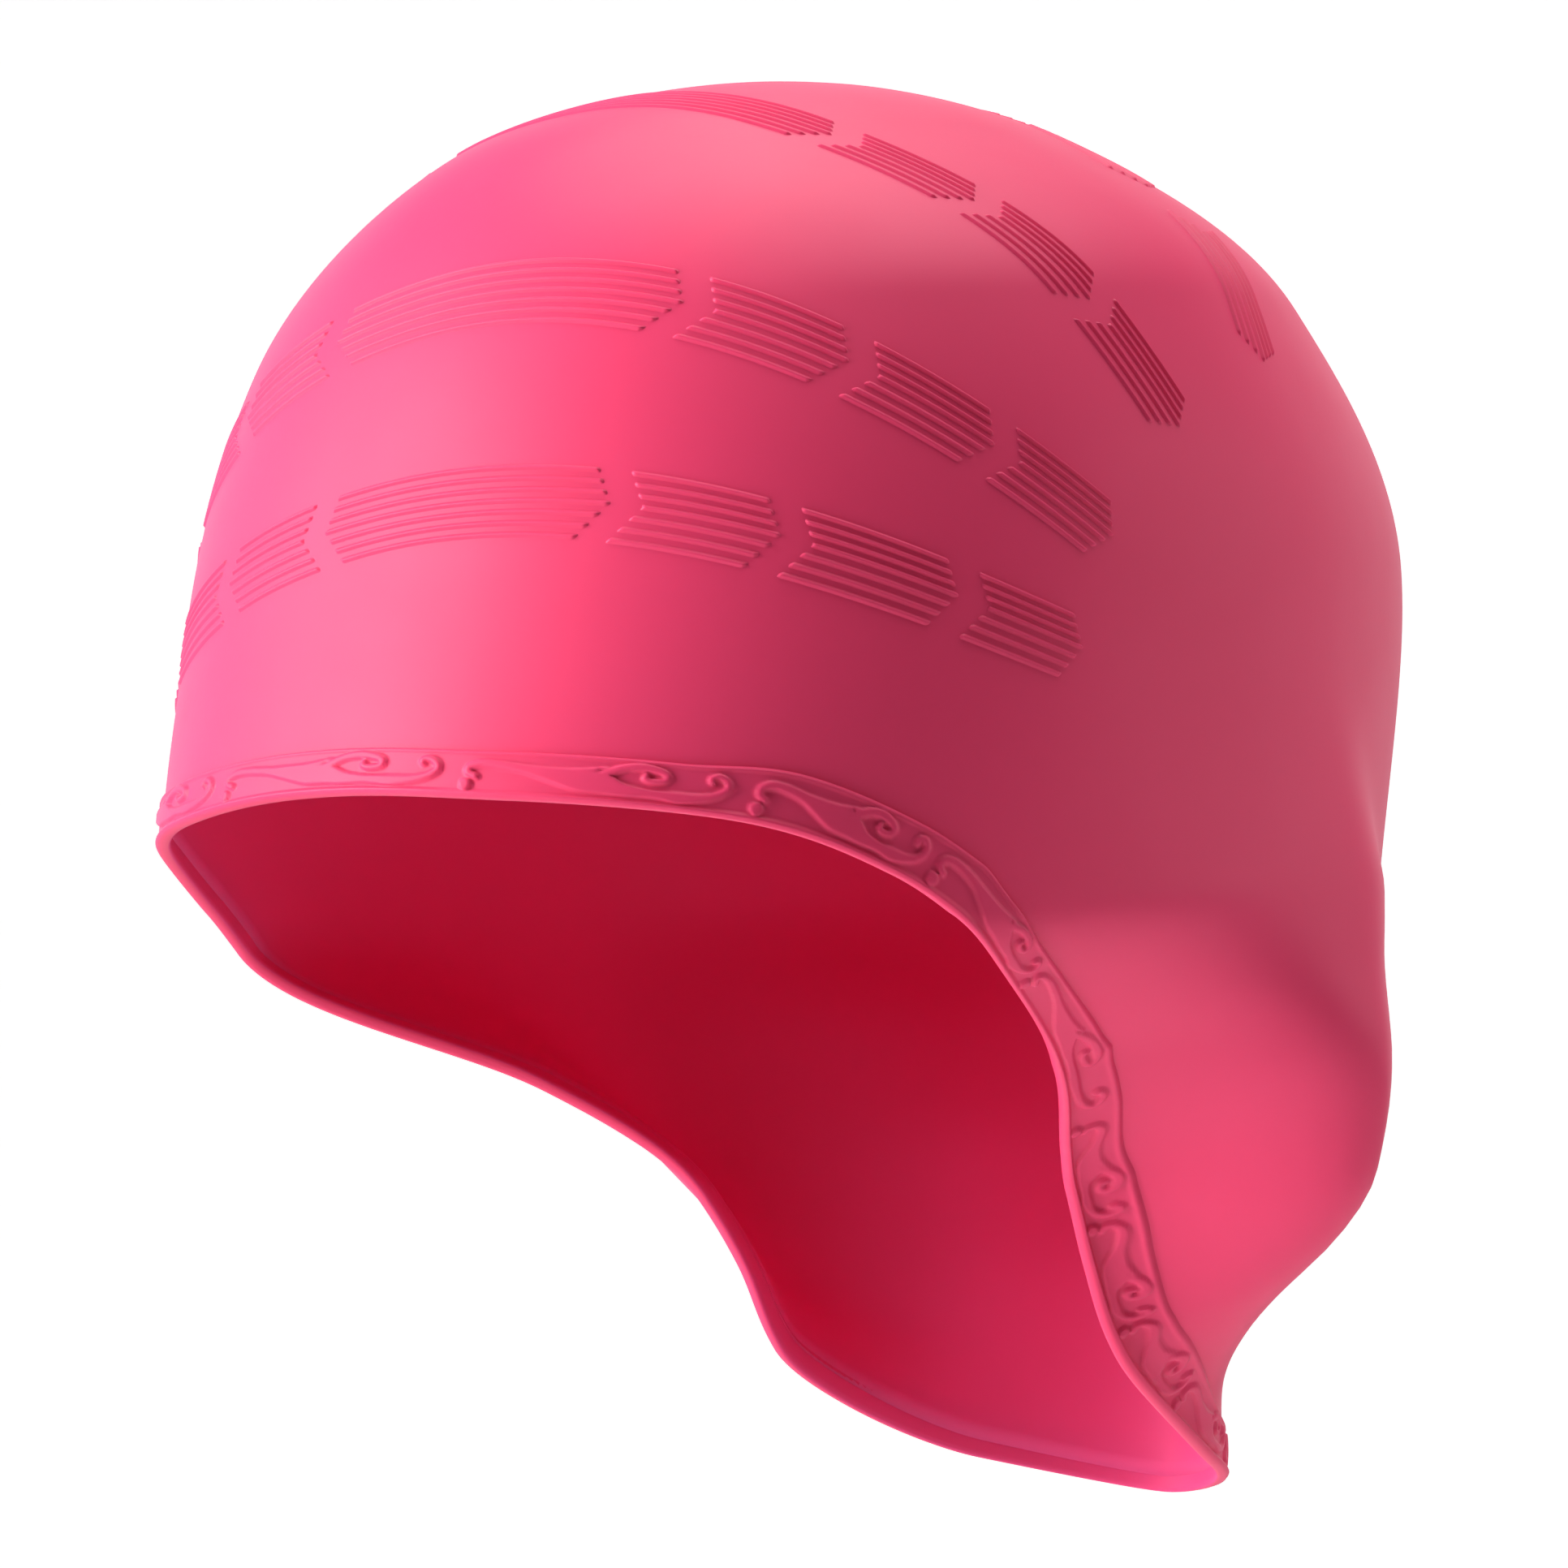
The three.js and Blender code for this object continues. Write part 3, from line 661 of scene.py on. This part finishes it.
def make_dash(rise, droop, low, high):
    """A patch of seven fine ribs whose chevron ends point outward."""
    if high > 0:
        high -= DASH_END_TRIM
    if low < 0:
        low += DASH_END_TRIM
    middle = (RIBS - 1) / 2
    rib_steps = np.array(RIB_CREST_STEPS) * RIB_HALF_WIDTH
    centres = (np.arange(RIBS) - middle) * RIB_PITCH
    across = (centres[:, None] + rib_steps).ravel()
    edge = across[-1] + PATCH_MARGIN
    across = np.concatenate([[-edge], across, [edge]])
    degrees_per_mm = math.degrees(1 / RIB_RADIUS)
    margin = PATCH_MARGIN * degrees_per_mm
    fade = RIB_END_FADE * degrees_per_mm
    cuts = max(int((high - low) / (degrees_per_mm * RIB_CUT)), 4)
    inner = np.linspace(low + 1.4 * fade, high - 1.4 * fade, cuts)
    ends = np.array(RIB_END_STEPS) * fade
    sideways = np.concatenate([[low - margin], low + ends, inner, high - ends[::-1], [high + margin]])
    lean = across / (middle * RIB_PITCH)
    chevron = CHEVRON * (1 - np.abs(lean)) + CHEVRON_SKEW * -lean
    if low < 0 < high:
        outward = np.clip(sideways / high, -1, 1)
    else:
        outward = np.full(len(sideways), math.copysign(1, low + high))
    shift = chevron[None] * outward[:, None]
    flat = rib_row_flat(rise, droop, sideways[:, None], across[None], shift)
    rib = np.zeros(len(across))
    for centre in centres:
        off_crest = np.clip((across - centre) / RIB_HALF_WIDTH, -1, 1)
        rib = np.maximum(rib, np.cos(off_crest * math.pi / 2) ** 2)
    ending = smooth_step(sideways, low, low + fade) * smooth_step(-sideways, -high, -high + fade)
    heights = ending[:, None] * rib[None] * (RIB_RAISE + PATCH_UNDER) - PATCH_UNDER
    top = raised_points(flat, heights)
    rows, columns = top.shape[:2]
    faces = []
    for i in range(rows - 1):
        for j in range(columns - 1):
            a = i * columns + j
            faces.append((a, a + columns, a + columns + 1, a + 1))
    border = list(range(columns))
    border += [i * columns + columns - 1 for i in range(1, rows)]
    border += [(rows - 1) * columns + j for j in range(columns - 2, -1, -1)]
    border += [i * columns for i in range(rows - 2, 0, -1)]
    sunk = raised_points(flat.reshape(-1, 2)[border], -PATCH_BASE)
    start = rows * columns
    for k, here in enumerate(border):
        after = (k + 1) % len(border)
        faces.append((here, border[after], start + after, start + k))
    faces.append(tuple(range(start, start + len(border))))
    points = np.concatenate([top.reshape(-1, 3), sunk])
    return points, faces


def make_rib_rows(material):
    for name, rise, droop, middle, sides in RIB_ROWS:
        spans = [(-middle, middle)]
        for low, high in sides:
            spans += [(low, high), (-high, -low)]
        points, faces = [], []
        for low, high in spans:
            dash_points, dash_faces = make_dash(rise, droop, low, high)
            start = sum(len(block) for block in points)
            points.append(dash_points)
            faces += [tuple(start + k for k in face) for face in dash_faces]
        make_piece(f"rib_row_{name}", np.concatenate(points), faces, [material])


# Silicone: tones as linear colours, sizes as noise scales, lengths in metres
OUTSIDE_TONES = (0.84, 0.052, 0.155), (0.79, 0.042, 0.13)
OUTSIDE_ROUGHNESS = 0.47
OUTSIDE_BUMP = 0.25
INSIDE_TONES = (0.82, 0.06, 0.21), (0.77, 0.05, 0.19)
INSIDE_ROUGHNESS = 0.6
INSIDE_BUMP = 0.3
TONE_SIZE = 22.0
TONE_AMOUNT = 0.35
ROUGHNESS_BELOW, ROUGHNESS_ABOVE = 0.03, 0.04
BUMP_DISTANCE = 0.00012
SPECULAR_LEVEL = 0.2
SUBSURFACE_WEIGHT = 0.12
SUBSURFACE_COLOURS = (1.0, 0.25, 0.3)
SUBSURFACE_REACH = 0.002


def new_group(name, inputs, outputs):
    group = bpy.data.node_groups.new(name, "ShaderNodeTree")
    for label, kind, value in inputs:
        socket = group.interface.new_socket(label, in_out="INPUT", socket_type=kind)
        if value is not None:
            socket.default_value = value
    for label, kind in outputs:
        group.interface.new_socket(label, in_out="OUTPUT", socket_type=kind)
    start = group.nodes.new("NodeGroupInput")
    end = group.nodes.new("NodeGroupOutput")
    return group, start, end


def silicone_tone_group():
    """Slow drifts of tone, as of silicone that is stretched here more and there less."""
    group, start, end = new_group(
        "silicone_tone",
        [("Tone", "NodeSocketColor", None), ("Deep Tone", "NodeSocketColor", None),
         ("Size", "NodeSocketFloat", 20.0), ("Amount", "NodeSocketFloat", 0.3)],
        [("Color", "NodeSocketColor"), ("Mask", "NodeSocketFloat")],
    )
    place = group.nodes.new("ShaderNodeTexCoord")
    noise = group.nodes.new("ShaderNodeTexNoise")
    noise.inputs["Detail"].default_value = 3.0
    noise.inputs["Roughness"].default_value = 0.55
    spread = group.nodes.new("ShaderNodeMapRange")
    spread.inputs["From Min"].default_value = 0.3
    spread.inputs["From Max"].default_value = 0.7
    scale = group.nodes.new("ShaderNodeMath")
    scale.operation = "MULTIPLY"
    mix = group.nodes.new("ShaderNodeMix")
    mix.data_type = "RGBA"
    link = group.links.new
    link(place.outputs["Object"], noise.inputs["Vector"])
    link(start.outputs["Size"], noise.inputs["Scale"])
    link(noise.outputs["Fac"], spread.inputs["Value"])
    link(spread.outputs["Result"], scale.inputs[0])
    link(start.outputs["Amount"], scale.inputs[1])
    link(scale.outputs["Value"], mix.inputs["Factor"])
    link(start.outputs["Tone"], mix.inputs["A"])
    link(start.outputs["Deep Tone"], mix.inputs["B"])
    link(mix.outputs["Result"], end.inputs["Color"])
    link(spread.outputs["Result"], end.inputs["Mask"])
    return group


def moulded_grain_group():
    """The very fine grain that a mould leaves, with a slow waviness under it."""
    group, start, end = new_group(
        "moulded_grain",
        [("Grain Size", "NodeSocketFloat", 900.0), ("Wave Size", "NodeSocketFloat", 60.0),
         ("Wave Share", "NodeSocketFloat", 0.6)],
        [("Height", "NodeSocketFloat")],
    )
    place = group.nodes.new("ShaderNodeTexCoord")
    grain = group.nodes.new("ShaderNodeTexNoise")
    grain.inputs["Detail"].default_value = 2.0
    wave = group.nodes.new("ShaderNodeTexNoise")
    wave.inputs["Detail"].default_value = 1.0
    mix = group.nodes.new("ShaderNodeMix")
    mix.data_type = "FLOAT"
    link = group.links.new
    link(place.outputs["Object"], grain.inputs["Vector"])
    link(place.outputs["Object"], wave.inputs["Vector"])
    link(start.outputs["Grain Size"], grain.inputs["Scale"])
    link(start.outputs["Wave Size"], wave.inputs["Scale"])
    link(start.outputs["Wave Share"], mix.inputs["Factor"])
    link(grain.outputs["Fac"], mix.inputs["A"])
    link(wave.outputs["Fac"], mix.inputs["B"])
    link(mix.outputs["Result"], end.inputs["Height"])
    return group


def silicone(name, tones, roughness, bump, tone_group, grain_group):
    material = bpy.data.materials.new(name)
    material.use_nodes = True
    nodes, link = material.node_tree.nodes, material.node_tree.links.new
    shader = nodes["Principled BSDF"]
    colour = nodes.new("ShaderNodeGroup")
    colour.node_tree = tone_group
    colour.inputs["Tone"].default_value = (*tones[0], 1)
    colour.inputs["Deep Tone"].default_value = (*tones[1], 1)
    colour.inputs["Size"].default_value = TONE_SIZE
    colour.inputs["Amount"].default_value = TONE_AMOUNT
    grain = nodes.new("ShaderNodeGroup")
    grain.node_tree = grain_group
    rough = nodes.new("ShaderNodeMapRange")
    rough.inputs["To Min"].default_value = roughness - ROUGHNESS_BELOW
    rough.inputs["To Max"].default_value = roughness + ROUGHNESS_ABOVE
    relief = nodes.new("ShaderNodeBump")
    relief.inputs["Strength"].default_value = bump
    relief.inputs["Distance"].default_value = BUMP_DISTANCE
    link(colour.outputs["Color"], shader.inputs["Base Color"])
    link(colour.outputs["Mask"], rough.inputs["Value"])
    link(rough.outputs["Result"], shader.inputs["Roughness"])
    link(grain.outputs["Height"], relief.inputs["Height"])
    link(relief.outputs["Normal"], shader.inputs["Normal"])
    shader.inputs["IOR"].default_value = 1.5
    shader.inputs["Specular IOR Level"].default_value = SPECULAR_LEVEL
    shader.inputs["Subsurface Weight"].default_value = SUBSURFACE_WEIGHT
    shader.inputs["Subsurface Radius"].default_value = SUBSURFACE_COLOURS
    shader.inputs["Subsurface Scale"].default_value = SUBSURFACE_REACH
    return material


# Stage and lights, in metres and watts
FLOOR_DROP = 0.9
STAGE_NEAR, STAGE_REACH, STAGE_HEIGHT, STAGE_RADIUS = 3.0, 6.0, 5.0, 1.6
STAGE_HALF_WIDTH = 8.0
STAGE_ARC_STEPS = 12
PAPER_TONE = 0.9
PAPER_ROUGHNESS = 0.9
BACKDROP_GLOW = 0.72
LIGHT_TARGET = (0, 0, -0.1)
LOW_LIGHT_TARGET = (0, 0, -0.15)
WORLD_LIGHT = 0.1


def aim(thing, place, target):
    thing.location = place
    thing.rotation_euler = (Vector(target) - Vector(place)).to_track_quat("-Z", "Y").to_euler()


def soft_box(name, place, target, size, power):
    data = bpy.data.lights.new(name, "AREA")
    data.shape = "RECTANGLE"
    data.size, data.size_y = size
    data.energy = power
    lamp = bpy.data.objects.new(name, data)
    bpy.context.scene.collection.objects.link(lamp)
    aim(lamp, place, target)


def make_stage(view_back, floor_level):
    """A pale floor that curves up into a pale backdrop behind the cap, seen from the camera."""
    profile = [(-STAGE_NEAR, 0.0)]
    for k in range(STAGE_ARC_STEPS + 1):
        angle = math.pi / 2 * k / STAGE_ARC_STEPS
        forward = STAGE_REACH - STAGE_RADIUS + STAGE_RADIUS * math.sin(angle)
        profile.append((forward, STAGE_RADIUS - STAGE_RADIUS * math.cos(angle)))
    profile.append((STAGE_REACH, STAGE_HEIGHT))
    away = Vector((-view_back.x, -view_back.y, 0)).normalized()
    beside = away.cross(Vector((0, 0, 1)))
    points = []
    for forward, up in profile:
        for side in (-STAGE_HALF_WIDTH, STAGE_HALF_WIDTH):
            points.append(away * forward + beside * side + Vector((0, 0, floor_level + up)))
    faces = [(2 * k, 2 * k + 1, 2 * k + 3, 2 * k + 2) for k in range(len(profile) - 1)]
    mesh = bpy.data.meshes.new("pale_floor")
    mesh.from_pydata([tuple(p) for p in points], [], faces)
    mesh.shade_smooth()
    for name, glow in (("pale_floor_paper", 0.0), ("pale_backdrop_paper", BACKDROP_GLOW)):
        material = bpy.data.materials.new(name)
        material.use_nodes = True
        shader = material.node_tree.nodes["Principled BSDF"]
        shader.inputs["Base Color"].default_value = (PAPER_TONE, PAPER_TONE, PAPER_TONE, 1)
        shader.inputs["Roughness"].default_value = PAPER_ROUGHNESS
        shader.inputs["Emission Color"].default_value = (1, 1, 1, 1)
        shader.inputs["Emission Strength"].default_value = glow
        mesh.materials.append(material)
    for face in mesh.polygons[1:]:
        face.material_index = 1
    floor = bpy.data.objects.new("pale_floor", mesh)
    bpy.context.scene.collection.objects.link(floor)
    floor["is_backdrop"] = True


# The camera as the photograph shows the cap, in degrees and model millimetres
VIEW_AZIMUTH = math.radians(44.9)
VIEW_ELEVATION = math.radians(-0.65)
VIEW_ROLL = math.radians(4.2)
VIEW_DISTANCE = 783.0
VIEW_CENTRE_DEPTH = 94.0
PIXELS = 1932.0
PIXELS_PER_MM = 8.546
VIEW_MIDDLE = (1012.5, 907.4)
SENSOR = 36.0
CLIP_RANGE = (0.02, 50)


def camera_axes():
    back = Vector((
        math.sin(VIEW_AZIMUTH) * math.cos(VIEW_ELEVATION),
        -math.cos(VIEW_AZIMUTH) * math.cos(VIEW_ELEVATION),
        math.sin(VIEW_ELEVATION),
    ))
    right = Vector((math.cos(VIEW_AZIMUTH), math.sin(VIEW_AZIMUTH), 0))
    up = back.cross(right)
    turned_right = right * math.cos(VIEW_ROLL) - up * math.sin(VIEW_ROLL)
    turned_up = right * math.sin(VIEW_ROLL) + up * math.cos(VIEW_ROLL)
    return turned_right, turned_up, back


def make_camera():
    right, up, back = camera_axes()
    centre = Vector((0, 0, (WALL - VIEW_CENTRE_DEPTH) * MM))
    data = bpy.data.cameras.new("view")
    data.sensor_width = SENSOR
    data.lens = PIXELS_PER_MM * VIEW_DISTANCE / PIXELS * SENSOR
    data.shift_x = (PIXELS / 2 - VIEW_MIDDLE[0]) / PIXELS
    data.shift_y = (VIEW_MIDDLE[1] - PIXELS / 2) / PIXELS
    data.clip_start, data.clip_end = CLIP_RANGE
    camera = bpy.data.objects.new("view", data)
    camera.matrix_world = Matrix.Translation(centre + back * VIEW_DISTANCE * MM) @ Matrix(
        (right, up, back)
    ).transposed().to_4x4()
    bpy.context.scene.collection.objects.link(camera)
    bpy.context.scene.camera = camera
    return back


def make_lights():
    soft_box("key_left", (-0.92, -1.32, 0.4), LIGHT_TARGET, (1.3, 1.5), 60)
    soft_box("side_right", (1.2, 1.5, 0.15), LIGHT_TARGET, (1.0, 1.4), 9)
    soft_box("top_back", (0.0, 0.35, 1.3), LIGHT_TARGET, (1.6, 1.4), 26)
    soft_box("low_front", (-0.35, -1.5, -0.95), LOW_LIGHT_TARGET, (0.8, 0.6), 7)
    world = bpy.data.worlds.new("studio")
    world.use_nodes = True
    background = world.node_tree.nodes["Background"]
    background.inputs["Color"].default_value = (1, 1, 1, 1)
    background.inputs["Strength"].default_value = WORLD_LIGHT
    bpy.context.scene.world = world


bpy.context.scene.view_settings.view_transform = "Standard"
view_back = make_camera()
make_stage(view_back, CAP_LOW[2] - FLOOR_DROP)
make_lights()

TONES = silicone_tone_group()
GRAIN = moulded_grain_group()
OUTSIDE = silicone("silicone_outside", OUTSIDE_TONES, OUTSIDE_ROUGHNESS, OUTSIDE_BUMP, TONES, GRAIN)
INSIDE = silicone("silicone_inside", INSIDE_TONES, INSIDE_ROUGHNESS, INSIDE_BUMP, TONES, GRAIN)

shell = make_shell(OUTSIDE, INSIDE)
make_band(OUTSIDE, INSIDE)
make_rib_rows(OUTSIDE)
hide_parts("swim_cap")

boxes = {"cad": CAD_BOX, "visual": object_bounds()}
boxes = {name: [list(map(float, corner)) for corner in box] for name, box in boxes.items()}
